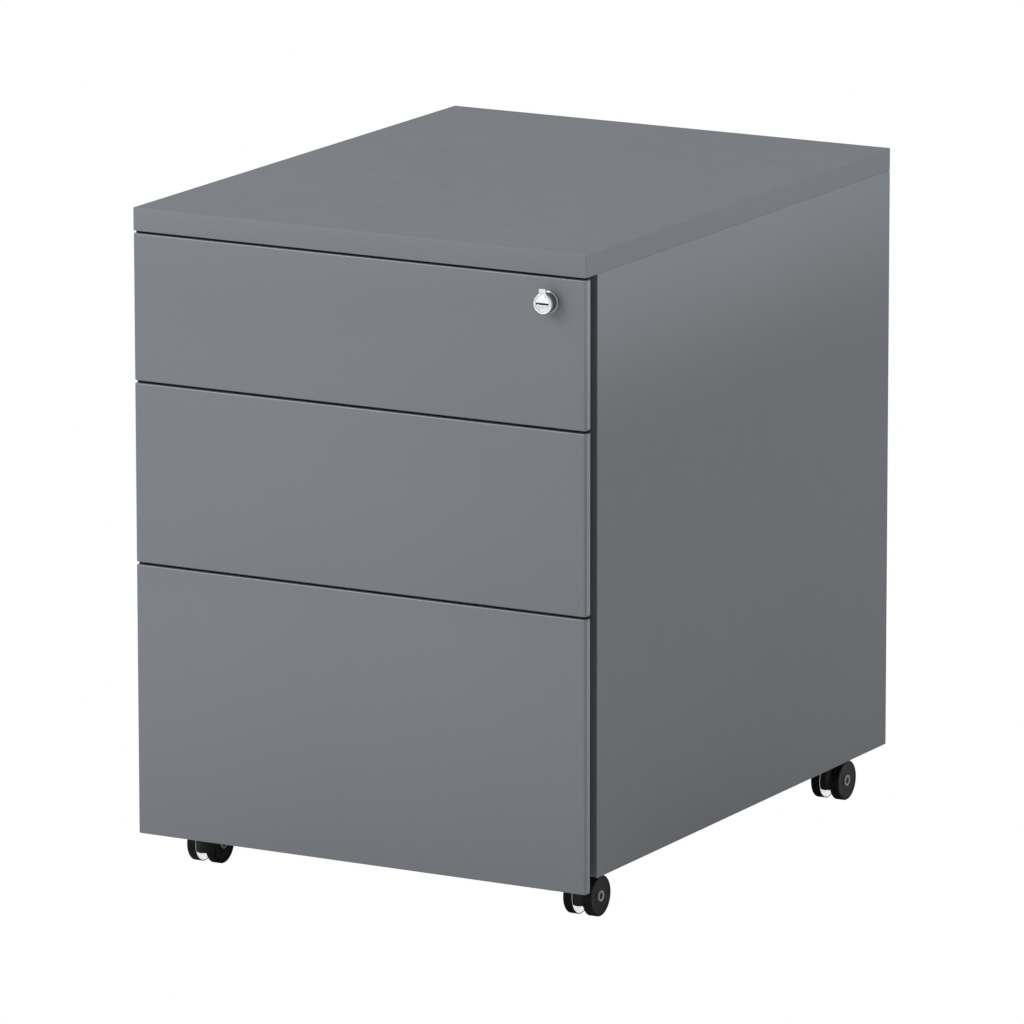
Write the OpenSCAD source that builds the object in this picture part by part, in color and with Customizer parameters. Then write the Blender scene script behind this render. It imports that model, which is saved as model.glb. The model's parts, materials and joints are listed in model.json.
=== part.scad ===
// Rolling pedestal cabinet: steel body on four twin-wheel casters, three drawers on
// telescopic slides, and one cylinder lock in the upper drawer that holds all three.
// +X right, +Y back, +Z up. The floor is z = 0. The origin is under the middle of the
// whole cabinet, lock cylinder included. Millimetres.

/* [Cabinet] */
// Overall width
cabinet_w = 420; // [410:1:460]
// Depth from the drawer fronts' face to the back of the top
cabinet_d = 535; // [525:1:580]
// Height of the top's upper face above the floor
cabinet_h = 559; // [559:1:575]
// Thickness of the top board
top_t = 19; // [16:1:22]
// Thickness of the folded sheet of the body
sheet = 1.2; // [1:0.1:1.2]
// Height of the side walls' lower edge above the floor
body_bottom = 44; // [43:1:45]

/* [Drawers] */
// Gap between two fronts, and between the upper front and the top
front_gap = 2; // [2:0.5:3]
// Height of the upper drawer's front
upper_front_h = 122.5; // [121:0.5:125]
// Height of the middle drawer's front
middle_front_h = 150; // [147:0.5:152]
// Height of the lowest front edge above the floor
front_bottom = 34; // [33:1:36]
// Depth of the folded edges of a front
front_t = 7.5; // [7:0.5:9]
// Corner radius of a front's upright edges
front_r = 2.5; // [1.5:0.5:3]
// Depth of the finger grip between a front and the body
grip_d = 12; // [10:1:14]
// How far a drawer pulls out
drawer_travel = 400; // [380:5:410]

/* [Lock] */
// Distance of the lock's axis from the cabinet's right side
lock_inset = 33.5; // [33:0.5:35]
// Distance of the lock's axis below the upper front's top edge
lock_drop = 20; // [19:0.5:22]
// How far the lock cylinder stands out of the front
lock_out = 11; // [9:0.5:13]
// How far the locking bar lifts when the key turns
bar_lift = 8.5; // [8:0.1:8.5]

/* [Casters] */
// Radius of a wheel
wheel_r = 17; // [15:0.5:17]
// Width of one wheel
wheel_w = 8.2; // [7.6:0.1:8.4]
// Width of the hood between the two wheels
hood_w = 9; // [8.8:0.1:9.6]
// Distance of a caster's stem from the cabinet's side
stem_inset_x = 32.4; // [31:0.1:34]
// Distance of a caster's stem from the front or the back
stem_inset_y = 48.4; // [47:0.1:52]
// How far the wheels' axle trails behind the stem
trail = 13.5; // [12:0.5:13.5]

/* [Hidden] */
$fn = 48;
half_w = cabinet_w / 2;
front_y = (lock_out - cabinet_d) / 2;
back_y = front_y + cabinet_d;
top_z = cabinet_h - top_t;
tiny = 0.05;

// Body: side walls folded from one sheet, with a lip that carries the slides
lip_w = 13;
lip_x = half_w - lip_w;
body_front = front_y + front_t + grip_d;
body_back = back_y - sheet;
front_lip = 30;
rear_lip = 72;
rail_y = body_front + 1;
rail_d = 18;
rail_below = 10.5;
rail_above = 7.5;
upper_rail_h = 9;
base_lip = 11;
nut_r = 7;
nut_h = 8;
fold = 20;

// Screws of one size
screw_r = 2;
screw_head_r = 4;
screw_head_h = 1.2;
screw_len = 12;
top_screw_x = 120;
back_screw_x = half_w - 7;
back_screw_z = [80, 290, 500];

// Drawers, from the upper to the lower
front_top = top_z - front_gap;
lower_front_h = front_top - upper_front_h - middle_front_h - 2 * front_gap - front_bottom;
front_h = [upper_front_h, middle_front_h, lower_front_h];
front_z = [
    front_top - upper_front_h,
    front_top - upper_front_h - front_gap - middle_front_h,
    front_bottom
];
box_lift = [8.5, 10.5, 24];
box_h = [81, 112, 178];
box_z = front_z + box_lift;
box_t = 1;
box_front = front_y + front_t;
box_back = front_y + 468;
rim_w = 5;

// Slides: three nested channels between the box and the lip
slide_t = 1.2;
slide_gap = 12.7;
box_half = lip_x - slide_gap;
slide_z = box_z + [28, 28, 62];
slide_front = body_front + 3;
slide_len = drawer_travel + 50;

// Outer, middle and inner channel: half height, reach from the box outwards, start and length
channel_half_h = [22.5, 19, 15];
channel_u0 = [4.4, 2.2, 0];
channel_u1 = [slide_gap, 9.9, 7.4];
channel_y = [slide_front, slide_front + 1, slide_front];
channel_len = [slide_len, slide_len - 10, slide_len - 5];

// Lock, its turning rod and the lifting bar
lock_x = half_w - lock_inset;
lock_z = front_top - lock_drop;
cylinder_r = 8.3;
housing_r = 9;
plug_r = 6.7;
collar_r = 9.8;
lock_nut_r = 12;
lock_rear = front_y + 22;
rod_r = 3;
rod_end = box_back + 4;
crank_t = 4;
crank_r = bar_lift / (2 * sin(45));
pin_r = 1.5;
bar_x = lock_x - 12.5;
bar_w = 20;
bar_t = 2;
bar_y = box_back + 14;
catch_w = 12;
catch_x = bar_x + 4;
catch_t = 1.5;
catch_drop = 6;
catch_z = box_z + box_h - [6, 6, 6];
hook_below = 17;
hook_h = 7.7;
guide_z = [262, 420];
guide_h = 16;

// Casters
stem_x = half_w - stem_inset_x;
stem_y = [front_y + stem_inset_y, back_y - stem_inset_y];
pin_fit = 0.05;
stem_pin_r = 3.2;
stem_pin_z = 26;
stud_r = 4;
stud_len = 11;
washer_r = 11;
washer_t = 2;
axle_r = 2;
neck_r = hood_w / 2;
hood_top = body_bottom - washer_t - 0.3;
hood_r = wheel_r - 0.6;
hood_bottom = wheel_r - 6.6;
wheel_gap = 0.4;

// ---- helpers ----

// Box between two corners
module block(low, high) {
    translate(low) cube(high - low);
}

// Copy on the left and on the right
module both_sides() {
    children();
    mirror([1, 0, 0]) children();
}

// One side of the cabinet: 1 is right, -1 is left
module on_side(side) {
    if (side > 0) children();
    else mirror([1, 0, 0]) children();
}

// Cylinder along +Y from y0 to y1
module rod_y(x, z, r, y0, y1) {
    translate([x, y0, z]) rotate([-90, 0, 0]) cylinder(r = r, h = y1 - y0);
}

// Points of an arc, for outlines
function arc(cx, cy, r, a0, a1, n) =
    [for (i = [0:n]) [cx + r * cos(a0 + (a1 - a0) * i / n), cy + r * sin(a0 + (a1 - a0) * i / n)]];

// Screw standing on its head's seat at the origin, with its shank along +Z
module screw() {
    cylinder(r = screw_r, h = screw_len);
    translate([0, 0, -screw_head_h]) cylinder(r1 = screw_head_r - 1, r2 = screw_head_r, h = screw_head_h);
}

// Places of the screws under the top: two in the upper rail, two in the back's fold
module at_top_screws() {
    for (x = [-top_screw_x, top_screw_x], y = [rail_y + 11, body_back - 11])
        translate([x, y, top_z - sheet]) children();
}

// Places of the screws in the back, with +Z along the shank
module at_back_screws() {
    for (x = [-back_screw_x, back_screw_x], z = back_screw_z)
        translate([x, body_back, z]) rotate([90, 0, 0]) children();
}

// ---- body ----

module top_panel() {
    color([0.50, 0.51, 0.52]) difference() {
        block([-half_w, front_y, top_z], [half_w, back_y, cabinet_h]);
        at_top_screws() cylinder(r = screw_r, h = screw_len);
    }
}

// Wall with a flange and a lip at both ends, folded from one sheet
module side_wall(side) {
    wall_back = body_back - sheet;
    z1 = body_bottom + sheet;
    color([0.47, 0.48, 0.50]) on_side(side) difference() {
        union() {
            block([half_w - sheet, body_front, body_bottom], [half_w, wall_back, top_z]);
            block([lip_x, body_front, z1], [half_w, body_front + sheet, top_z]);
            block([lip_x, body_front, z1], [lip_x + sheet, body_front + front_lip, top_z]);
            block([lip_x, wall_back - sheet, z1], [half_w, wall_back, top_z]);
            block([lip_x, wall_back - rear_lip, z1], [lip_x + sheet, wall_back, top_z]);
        }
        at_back_screws() cylinder(r = screw_r, h = screw_len);
    }
}

module back_panel() {
    color([0.47, 0.48, 0.50]) difference() {
        union() {
            block([-half_w, body_back - sheet, body_bottom], [half_w, body_back, top_z]);
            block([-lip_x, body_back - fold, top_z - sheet], [lip_x, body_back, top_z]);
        }
        at_back_screws() cylinder(r = screw_r, h = screw_len);
        at_top_screws() cylinder(r = screw_r, h = screw_len);
    }
}

module base_panel() {
    z1 = body_bottom + sheet;
    color([0.47, 0.48, 0.50]) difference() {
        union() {
            block([sheet - half_w, body_front + sheet, body_bottom],
                  [half_w - sheet, body_back - sheet, z1]);
            block([-lip_x, rail_y, body_bottom], [lip_x, rail_y + sheet, body_bottom + base_lip]);
            at_stems() translate([0, 0, z1]) cylinder(r = nut_r, h = nut_h);
        }
        at_stems() translate([0, 0, body_bottom]) cylinder(r = stud_r, h = 20);
    }
}

// Channel across the body, open to the back
module cross_rail(z0, z1) {
    block([-lip_x, rail_y, z0], [lip_x, rail_y + sheet, z1]);
    block([-lip_x, rail_y, z1 - sheet], [lip_x, rail_y + rail_d, z1]);
    if (z1 - z0 > upper_rail_h)
        block([-lip_x, rail_y, z0], [lip_x, rail_y + rail_d, z0 + sheet]);
}

module upper_rail() {
    color([0.16, 0.16, 0.17]) difference() {
        cross_rail(top_z - upper_rail_h, top_z);
        at_top_screws() cylinder(r = screw_r, h = screw_len);
    }
}

// Rail behind the gap below drawer i
module gap_rail(i) {
    gap_z = front_z[i] - front_gap / 2;
    color([0.16, 0.16, 0.17]) cross_rail(gap_z - rail_below, gap_z + rail_above);
}

module body_screws() {
    color([0.75, 0.75, 0.77]) {
        at_top_screws() screw();
        at_back_screws() screw();
    }
}

// ---- slides ----

// Channel of a slide: kind is 0 for the outer one, 1 for the middle and 2 for the inner,
// whose web stands on the drawer box. The others have their web away from the box.
module channel(kind, i, side) {
    u0 = channel_u0[kind];
    u1 = channel_u1[kind];
    half_h = channel_half_h[kind];
    len = channel_len[kind];
    web = kind == 2 ? u0 : u1 - slide_t;
    color([0.72, 0.73, 0.75]) on_side(side) translate([box_half, channel_y[kind], slide_z[i]]) {
        block([web, 0, -half_h], [web + slide_t, len, half_h]);
        for (low = [-half_h, half_h - slide_t])
            block([u0, 0, low], [u1, len, low + slide_t]);
    }
}

module outer_slide(i, side) {
    channel(0, i, side);
}

module mid_slide(i, side) {
    channel(1, i, side);
}

module inner_slide(i, side) {
    channel(2, i, side);
}

// ---- drawers ----

// Plan of a front with two rounded corners, from its face at y = 0 backwards
module front_plan(w, d, r) {
    translate([r - w / 2, 0]) square([w - 2 * r, d]);
    translate([-w / 2, r]) square([w, d - r]);
    for (x = [r - w / 2, w / 2 - r]) translate([x, r]) circle(r = r);
}

// Hole for the lock cylinder through the upper front
module lock_hole(i) {
    if (i == 0) rod_y(lock_x, lock_z, housing_r, front_y - 1, box_front + 1);
}

module drawer_front(i) {
    color([0.50, 0.51, 0.52]) difference() {
        translate([0, front_y, front_z[i]]) linear_extrude(front_h[i])
            front_plan(cabinet_w, front_t, front_r);
        translate([0, front_y + sheet, front_z[i] + sheet]) linear_extrude(front_h[i] - 2 * sheet)
            front_plan(cabinet_w - 2 * sheet, front_t, front_r - sheet);
        lock_hole(i);
    }
}

// Plate that closes the back of a front
module front_liner(i) {
    x1 = half_w - sheet - tiny;
    edge = sheet + tiny;
    color([0.47, 0.48, 0.50]) difference() {
        block([-x1, box_front - sheet, front_z[i] + edge],
              [x1, box_front, front_z[i] + front_h[i] - edge]);
        lock_hole(i);
    }
}

// Tab behind the box with a lip that the bar's hook catches
module box_catch(i) {
    y1 = box_back + 10;
    block([catch_x, box_back - box_t, catch_z[i]], [catch_x + catch_w, y1, catch_z[i] + catch_t]);
    block([catch_x, y1 - catch_t, catch_z[i] - catch_drop],
          [catch_x + catch_w, y1, catch_z[i] + catch_t]);
}

// Open box of folded sheet, with rims turned in along both sides
module drawer_box(i) {
    z0 = box_z[i];
    z1 = z0 + box_h[i];
    ear_w = 18;
    color([0.20, 0.20, 0.21]) difference() {
        union() {
            difference() {
                block([-box_half, box_front, z0], [box_half, box_back, z1]);
                block([box_t - box_half, box_front + box_t, z0 + box_t],
                      [box_half - box_t, box_back - box_t, z1 + 1]);
            }
            both_sides() block([box_half - rim_w, box_front, z1 - box_t], [box_half, box_back, z1]);
            box_catch(i);
            if (i == 0)
                block([lock_x - ear_w / 2, box_back - box_t, z1 - 2],
                      [box_half, box_back, lock_z + ear_w / 2]);
        }
        if (i == 0) rod_y(lock_x, lock_z, rod_r + pin_fit, box_back - 2, box_back + 1);
    }
}

// ---- lock ----

module lock_housing() {
    tab_w = 6.4;
    tab_h = 12.2;
    color([0.85, 0.85, 0.87]) difference() {
        union() {
            rod_y(lock_x, lock_z, cylinder_r, front_y - lock_out, front_y);
            rod_y(lock_x, lock_z, collar_r, front_y - 1.5, front_y);
            rod_y(lock_x, lock_z, housing_r, front_y, lock_rear);
            block([lock_x - tab_w / 2, front_y - lock_out, lock_z + plug_r + 1],
                  [lock_x + tab_w / 2, front_y - lock_out + 2, lock_z + tab_h]);
        }
        rod_y(lock_x, lock_z, plug_r + pin_fit, front_y - lock_out - 1, lock_rear + 1);
    }
}

module lock_nut() {
    color([0.75, 0.75, 0.77]) difference() {
        rod_y(lock_x, lock_z, lock_nut_r, box_front, box_front + 3);
        rod_y(lock_x, lock_z, housing_r, box_front - 1, box_front + 4);
    }
}

module lock_plug() {
    slot_w = 11.6;
    slot_h = 1.6;
    slot_d = 8;
    y0 = front_y - lock_out;
    color([0.85, 0.85, 0.87]) difference() {
        rod_y(lock_x, lock_z, plug_r, y0, lock_rear + 2);
        block([lock_x - slot_w / 2, y0 - 1, lock_z - slot_h / 2],
              [lock_x + slot_w / 2, y0 + slot_d, lock_z + slot_h / 2]);
    }
}

// Rod from the plug to the back, with a crank whose pin lifts the bar
module lock_rod() {
    hub_r = 4.5;
    arm_w = 6;
    color([0.72, 0.73, 0.75]) {
        rod_y(lock_x, lock_z, rod_r, lock_rear + 2, rod_end + crank_t);
        translate([lock_x, rod_end + crank_t, lock_z]) rotate([90, 0, 0]) linear_extrude(crank_t) {
            circle(r = hub_r);
            rotate(225) translate([0, -arm_w / 2]) square([crank_r, arm_w]);
            rotate(225) translate([crank_r, 0]) circle(r = arm_w / 2);
        }
        rod_y(lock_x - crank_r * cos(45), lock_z - crank_r * sin(45), pin_r,
              rod_end + crank_t, bar_y + bar_t + 2);
    }
}

// Upright bar with a slot for the crank's pin and one hook for each drawer
module lock_bar() {
    pin_z = lock_z - bar_lift / 2;
    slot_h = 2 * pin_r + 1;
    bar_bottom = 195;
    slot_x0 = lock_x - crank_r - pin_r - 0.6;
    slot_x1 = lock_x - crank_r * cos(45) + pin_r + 0.6;
    hook_y = box_back + 4;
    lug_z = guide_z[1] + guide_h + 0.2;
    color([0.72, 0.73, 0.75]) difference() {
        union() {
            block([bar_x, bar_y, bar_bottom], [bar_x + bar_w, bar_y + bar_t, pin_z + 8]);
            block([bar_x, bar_y, lug_z], [bar_x + bar_w + 5, bar_y + bar_t, lug_z + 6]);
            for (z = catch_z) translate([0, 0, z - hook_below]) {
                block([catch_x, hook_y, 0], [catch_x + catch_w, bar_y + bar_t, catch_t]);
                block([catch_x, hook_y, 0], [catch_x + catch_w, hook_y + catch_t, hook_h]);
            }
        }
        block([slot_x0, bar_y - 1, pin_z - slot_h / 2], [slot_x1, bar_y + bar_t + 1, pin_z + slot_h / 2]);
    }
}

// Two blocks on the right rear lip that the bar slides through
module bar_guides() {
    play = 0.3;
    color([0.12, 0.12, 0.12]) for (z = guide_z) difference() {
        block([bar_x - 4, bar_y - 3, z], [lip_x, bar_y + bar_t + 3, z + guide_h]);
        block([bar_x - play, bar_y - play, z - 1],
              [bar_x + bar_w + play, bar_y + bar_t + play, z + guide_h + 1]);
    }
}

// ---- casters ----

// Places of the four stems on the floor plane
module at_stems() {
    for (x = [-stem_x, stem_x], y = stem_y) translate([x, y, 0]) children();
}

module caster_stems() {
    color([0.72, 0.73, 0.75]) at_stems() {
        translate([0, 0, stem_pin_z]) cylinder(r = stem_pin_r, h = body_bottom - stem_pin_z);
        translate([0, 0, body_bottom - washer_t]) cylinder(r = washer_r, h = washer_t);
        translate([0, 0, body_bottom]) cylinder(r = stud_r, h = stud_len);
    }
}

// Moves to the stem of one caster: side is 1 or -1, end is 0 in front and 1 at the back
module at_caster(side, end) {
    translate([side * stem_x, stem_y[end], 0]) children();
}

// Hood that turns on the stem: a round body between the wheels and a neck
module hood(side, end) {
    color([0.10, 0.10, 0.10]) at_caster(side, end) difference() {
        union() {
            translate([-hood_w / 2, 0, 0]) rotate([90, 0, 90]) linear_extrude(hood_w) {
                difference() {
                    translate([trail, wheel_r]) circle(r = hood_r);
                    translate([trail - wheel_r, -1]) square([2 * wheel_r, hood_bottom + 1]);
                }
                translate([0, hood_bottom]) square([trail, 19]);
            }
            translate([0, 0, hood_bottom]) cylinder(r = neck_r, h = hood_top - hood_bottom);
        }
        translate([0, 0, stem_pin_z - 1]) cylinder(r = stem_pin_r + pin_fit, h = 30);
        translate([-hood_w, trail, wheel_r]) rotate([0, 90, 0]) cylinder(r = axle_r, h = 2 * hood_w);
    }
}

module axle(side, end) {
    reach = hood_w / 2 + wheel_gap + wheel_w - 1.4;
    color([0.72, 0.73, 0.75]) at_caster(side, end)
        translate([-reach, trail, wheel_r]) rotate([0, 90, 0]) cylinder(r = axle_r, h = 2 * reach);
}

// Outline of a wheel: radius against width, hollow on the hood's side
function wheel_outline() = concat(
    [[0, wheel_w - 1], [axle_r + pin_fit, wheel_w - 1], [axle_r + pin_fit, 0], [5, 0], [5, 4.8]],
    [[wheel_r - 2.4, 4.8], [wheel_r - 2.4, 0]],
    arc(wheel_r - 1, 1, 1, -90, 0, 4),
    arc(wheel_r - 1.4, wheel_w - 1.4, 1.4, 0, 90, 5),
    [[wheel_r - 3.2, wheel_w], [wheel_r - 3.8, wheel_w - 0.5], [4.6, wheel_w - 0.5]],
    arc(3.6, wheel_w - 0.6, 0.6, 0, 90, 3),
    [[0, wheel_w]]
);

// place is 1 for the wheel on the cabinet's outer side and -1 for the other
module wheel(side, end, place) {
    color([0.10, 0.10, 0.10]) at_caster(side, end) on_side(side * place)
        translate([hood_w / 2 + wheel_gap, trail, wheel_r]) rotate([0, 90, 0])
            rotate_extrude() polygon(wheel_outline());
}

// ---- nodes ----

top_panel();
side_wall(-1);  // left_side_wall
side_wall(1);  // right_side_wall
back_panel();
base_panel();
upper_rail();
gap_rail(0);  // middle_rail
gap_rail(1);  // lower_rail
body_screws();
caster_stems();
bar_guides();
outer_slide(0, -1);  // upper_left_outer_slide
outer_slide(0, 1);  // upper_right_outer_slide
outer_slide(1, -1);  // middle_left_outer_slide
outer_slide(1, 1);  // middle_right_outer_slide
outer_slide(2, -1);  // lower_left_outer_slide
outer_slide(2, 1);  // lower_right_outer_slide
mid_slide(0, -1);  // upper_left_mid_slide
mid_slide(0, 1);  // upper_right_mid_slide
mid_slide(1, -1);  // middle_left_mid_slide
mid_slide(1, 1);  // middle_right_mid_slide
mid_slide(2, -1);  // lower_left_mid_slide
mid_slide(2, 1);  // lower_right_mid_slide
inner_slide(0, -1);  // upper_left_inner_slide
inner_slide(0, 1);  // upper_right_inner_slide
inner_slide(1, -1);  // middle_left_inner_slide
inner_slide(1, 1);  // middle_right_inner_slide
inner_slide(2, -1);  // lower_left_inner_slide
inner_slide(2, 1);  // lower_right_inner_slide
drawer_front(0);  // upper_drawer_front
drawer_front(1);  // middle_drawer_front
drawer_front(2);  // lower_drawer_front
front_liner(0);  // upper_front_liner
front_liner(1);  // middle_front_liner
front_liner(2);  // lower_front_liner
drawer_box(0);  // upper_drawer_box
drawer_box(1);  // middle_drawer_box
drawer_box(2);  // lower_drawer_box
lock_housing();
lock_nut();
lock_plug();
lock_rod();
lock_bar();
hood(-1, 0);  // front_left_hood
hood(1, 0);  // front_right_hood
hood(-1, 1);  // rear_left_hood
hood(1, 1);  // rear_right_hood
axle(-1, 0);  // front_left_axle
axle(1, 0);  // front_right_axle
axle(-1, 1);  // rear_left_axle
axle(1, 1);  // rear_right_axle
wheel(-1, 0, 1);  // front_left_outer_wheel
wheel(-1, 0, -1);  // front_left_inner_wheel
wheel(1, 0, 1);  // front_right_outer_wheel
wheel(1, 0, -1);  // front_right_inner_wheel
wheel(-1, 1, 1);  // rear_left_outer_wheel
wheel(-1, 1, -1);  // rear_left_inner_wheel
wheel(1, 1, 1);  // rear_right_outer_wheel
wheel(1, 1, -1);  // rear_right_inner_wheel
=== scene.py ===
import json
import math

import bmesh
import bpy
from mathutils import Matrix, Quaternion, Vector


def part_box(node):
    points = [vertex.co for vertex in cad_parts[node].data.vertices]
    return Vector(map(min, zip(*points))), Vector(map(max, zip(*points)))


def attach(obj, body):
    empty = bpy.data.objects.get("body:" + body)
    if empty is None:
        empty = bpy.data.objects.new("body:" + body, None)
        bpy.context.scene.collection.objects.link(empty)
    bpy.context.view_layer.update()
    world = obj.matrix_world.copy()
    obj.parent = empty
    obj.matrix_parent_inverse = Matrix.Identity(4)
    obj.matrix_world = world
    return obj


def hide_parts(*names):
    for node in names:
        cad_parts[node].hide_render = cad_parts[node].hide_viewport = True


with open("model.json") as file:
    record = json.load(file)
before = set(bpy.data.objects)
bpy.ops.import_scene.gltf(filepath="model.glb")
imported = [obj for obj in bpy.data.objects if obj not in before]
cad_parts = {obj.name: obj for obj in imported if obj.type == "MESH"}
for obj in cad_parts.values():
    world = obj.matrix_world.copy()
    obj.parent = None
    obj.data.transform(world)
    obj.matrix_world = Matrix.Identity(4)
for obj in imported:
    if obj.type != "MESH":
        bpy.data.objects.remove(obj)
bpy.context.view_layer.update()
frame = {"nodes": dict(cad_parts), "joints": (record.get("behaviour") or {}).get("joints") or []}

MM = 0.001
SIDES = {"left": -1, "right": 1}
LEVELS = ("upper", "middle", "lower")

# Sheet metal: thickness on the body and on the drawer boxes, and inside radius of the folds
SHEET = 1.2 * MM
BOX_SHEET = 1.0 * MM
FOLD_R = 0.8 * MM

# Gap between pieces that sit against each other
CLEAR = 0.05 * MM

# Drawer boxes: height of their walls, and how far the catch stands out behind them
BOX_H = {"upper": 81 * MM, "middle": 112 * MM, "lower": 178 * MM}
CATCH = 10 * MM

# Camera: angles in degrees, distance in metres and lens in millimetres
AZIMUTH = 29.034
ELEVATION = 12.558
ROLL = -0.054
DISTANCE = 8.125
LENS = 343.0
AIM = Vector((-0.00388, 0.00226, 0.27575))

# Studio: radius of the floor, and strength of the dome's light
FLOOR_R = 40
DOME = 0.75


# ---- meshes ----

def on_axis(axis, u, v, w):
    """A point at u, v across an axis and w along it."""
    return {"X": (w, u, v), "Y": (u, w, v), "Z": (u, v, w)}[axis]


def prism(bm, outline, axis, start, end):
    """Closed outline pushed along an axis."""
    low = [bm.verts.new(on_axis(axis, u, v, start)) for u, v in outline]
    high = [bm.verts.new(on_axis(axis, u, v, end)) for u, v in outline]
    for i in range(len(outline)):
        j = (i + 1) % len(outline)
        bm.faces.new((low[i], low[j], high[j], high[i]))
    bm.faces.new(low[::-1])
    bm.faces.new(high)


def block(bm, low, high):
    """Box between two corners."""
    corners = [(low[0], low[1]), (high[0], low[1]), (high[0], high[1]), (low[0], high[1])]
    prism(bm, corners, "Z", low[2], high[2])


def lathe(bm, profile, origin, axis, steps=48):
    """Closed profile of (radius, height) turned about an axis through origin."""
    rings = []
    for r, h in profile:
        angles = [0.0] if r < 1e-7 else [2 * math.pi * k / steps for k in range(steps)]
        places = [on_axis(axis, r * math.cos(a), r * math.sin(a), h) for a in angles]
        rings.append([bm.verts.new(Vector(origin) + Vector(p)) for p in places])
    for a, b in zip(rings, rings[1:] + rings[:1]):
        if len(a) == 1 and len(b) == 1:
            continue
        for k in range(steps):
            j = (k + 1) % steps
            corners = [a[k % len(a)], a[j % len(a)], b[j % len(b)], b[k % len(b)]]
            bm.faces.new(list(dict.fromkeys(corners)))


def rod(bm, r, start, end, origin, axis, steps=48):
    """Cylinder from start to end along an axis through origin."""
    lathe(bm, [(0, start), (r, start), (r, end), (0, end)], origin, axis, steps)


def skin(bm, outlines, closed=False):
    """Faces between outlines of equal length, one after the other, and back to the first if closed."""
    rings = [[bm.verts.new(p) for p in outline] for outline in outlines]
    following = rings[1:] + rings[:1] if closed else rings[1:]
    for a, b in zip(rings, following):
        for k in range(len(a)):
            j = (k + 1) % len(a)
            bm.faces.new((a[k], a[j], b[j], b[k]))
    return rings


def arc(centre, r, start, end, steps=6):
    """Points of an arc, with angles in degrees."""
    turns = [math.radians(start + (end - start) * k / steps) for k in range(steps + 1)]
    return [(centre[0] + r * math.cos(a), centre[1] + r * math.sin(a)) for a in turns]


def rounded_box(half_u, half_v, r, steps=4, at=(0, 0)):
    """Outline of a rectangle with round corners."""
    points = []
    for su, sv, start in ((1, 1, 0), (-1, 1, 90), (-1, -1, 180), (1, -1, 270)):
        centre = (at[0] + su * (half_u - r), at[1] + sv * (half_v - r))
        points += arc(centre, r, start, start + 90, steps)
    return points


def polygon(corners, r, at):
    """Outline of a regular polygon with its corners at radius r."""
    turns = [2 * math.pi * k / corners for k in range(corners)]
    return [(at[0] + r * math.cos(a), at[1] + r * math.sin(a)) for a in turns]


def folded(path, thickness, radius=FOLD_R, steps=5):
    """Outline of a sheet that follows an open path, with round folds, or sharp ones at radius 0."""
    path = [Vector(p) for p in path]
    bend = radius + thickness / 2
    line = []
    for i, p in enumerate(path):
        if i in (0, len(path) - 1):
            ahead = path[1] - path[0] if i == 0 else path[-1] - path[-2]
            line.append((p, Vector((-ahead.y, ahead.x)).normalized()))
            continue
        a = (path[i - 1] - p).normalized()
        b = (path[i + 1] - p).normalized()
        half = a.angle(b) / 2
        centre = p + (a + b).normalized() * bend / math.sin(half)
        side = 1 if b.cross(a) > 0 else -1
        if not radius:
            line.append((p, side * (a + b).normalized() / math.sin(half)))
            continue
        begin = p + a * bend / math.tan(half) - centre
        for k in range(steps + 1):
            turn = side * (math.pi - 2 * half) * k / steps
            spoke = Vector((
                begin.x * math.cos(turn) - begin.y * math.sin(turn),
                begin.x * math.sin(turn) + begin.y * math.cos(turn),
            ))
            line.append((centre + spoke, -side * spoke.normalized()))
    left = [p + n * thickness / 2 for p, n in line]
    right = [p - n * thickness / 2 for p, n in line]
    return [tuple(p) for p in left + right[::-1]]


def as_object(bm, name):
    mesh = bpy.data.meshes.new(name)
    bmesh.ops.recalc_face_normals(bm, faces=bm.faces)
    bm.to_mesh(mesh)
    bm.free()
    obj = bpy.data.objects.new(name, mesh)
    bpy.context.scene.collection.objects.link(obj)
    return obj


def evaluated(obj):
    """New geometry: the object with its modifiers applied."""
    graph = bpy.context.evaluated_depsgraph_get()
    mesh = bpy.data.meshes.new_from_object(obj.evaluated_get(graph))
    result = bmesh.new()
    result.from_mesh(mesh)
    bpy.data.meshes.remove(mesh)
    return result


def combined(first, second, operation="DIFFERENCE"):
    """The solid in first, cut by or joined with the one in second."""
    objects = [as_object(first, "first"), as_object(second, "second")]
    modifier = objects[0].modifiers.new("Boolean", "BOOLEAN")
    modifier.operation = operation
    modifier.object = objects[1]
    result = evaluated(objects[0])
    for obj in objects:
        bpy.data.meshes.remove(obj.data)
    return result


def soften(obj, width, segments=3):
    """Rounds an object's edges a little."""
    bevel = obj.modifiers.new("Edges", "BEVEL")
    bevel.width = width
    bevel.segments = segments
    bevel.limit_method = "ANGLE"
    bevel.angle_limit = math.radians(35)
    bevel.harden_normals = True


def rounded(bm, width, segments):
    """The solid in bm with its edges rounded."""
    solid = as_object(bm, "solid")
    soften(solid, width, segments)
    result = evaluated(solid)
    bpy.data.meshes.remove(solid.data)
    return result


def piece(name, bm, material, body, replaces=(), edge=0.0, segments=3):
    """Finished piece that rides on a body."""
    obj = as_object(bm, name)
    obj.data.materials.append(material)
    obj.data.shade_smooth()
    if edge:
        soften(obj, edge, segments)
    else:
        obj.data.set_sharp_from_angle(angle=math.radians(32))
    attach(obj, body)
    if replaces:
        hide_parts(*replaces)
    return obj


# ---- places from the frame ----

def joint_place(name):
    return next(joint["pos_m"] for joint in frame["joints"] if joint["name"] == name)


def stems():
    """Each caster's name, and x and y of its stem."""
    for joint in frame["joints"]:
        if joint["name"].endswith("_swivel"):
            x, y, _ = joint["pos_m"]
            yield joint["name"].removesuffix("_swivel"), x, y


def lock_axis():
    return Vector(joint_place("lock_turn"))


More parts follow.
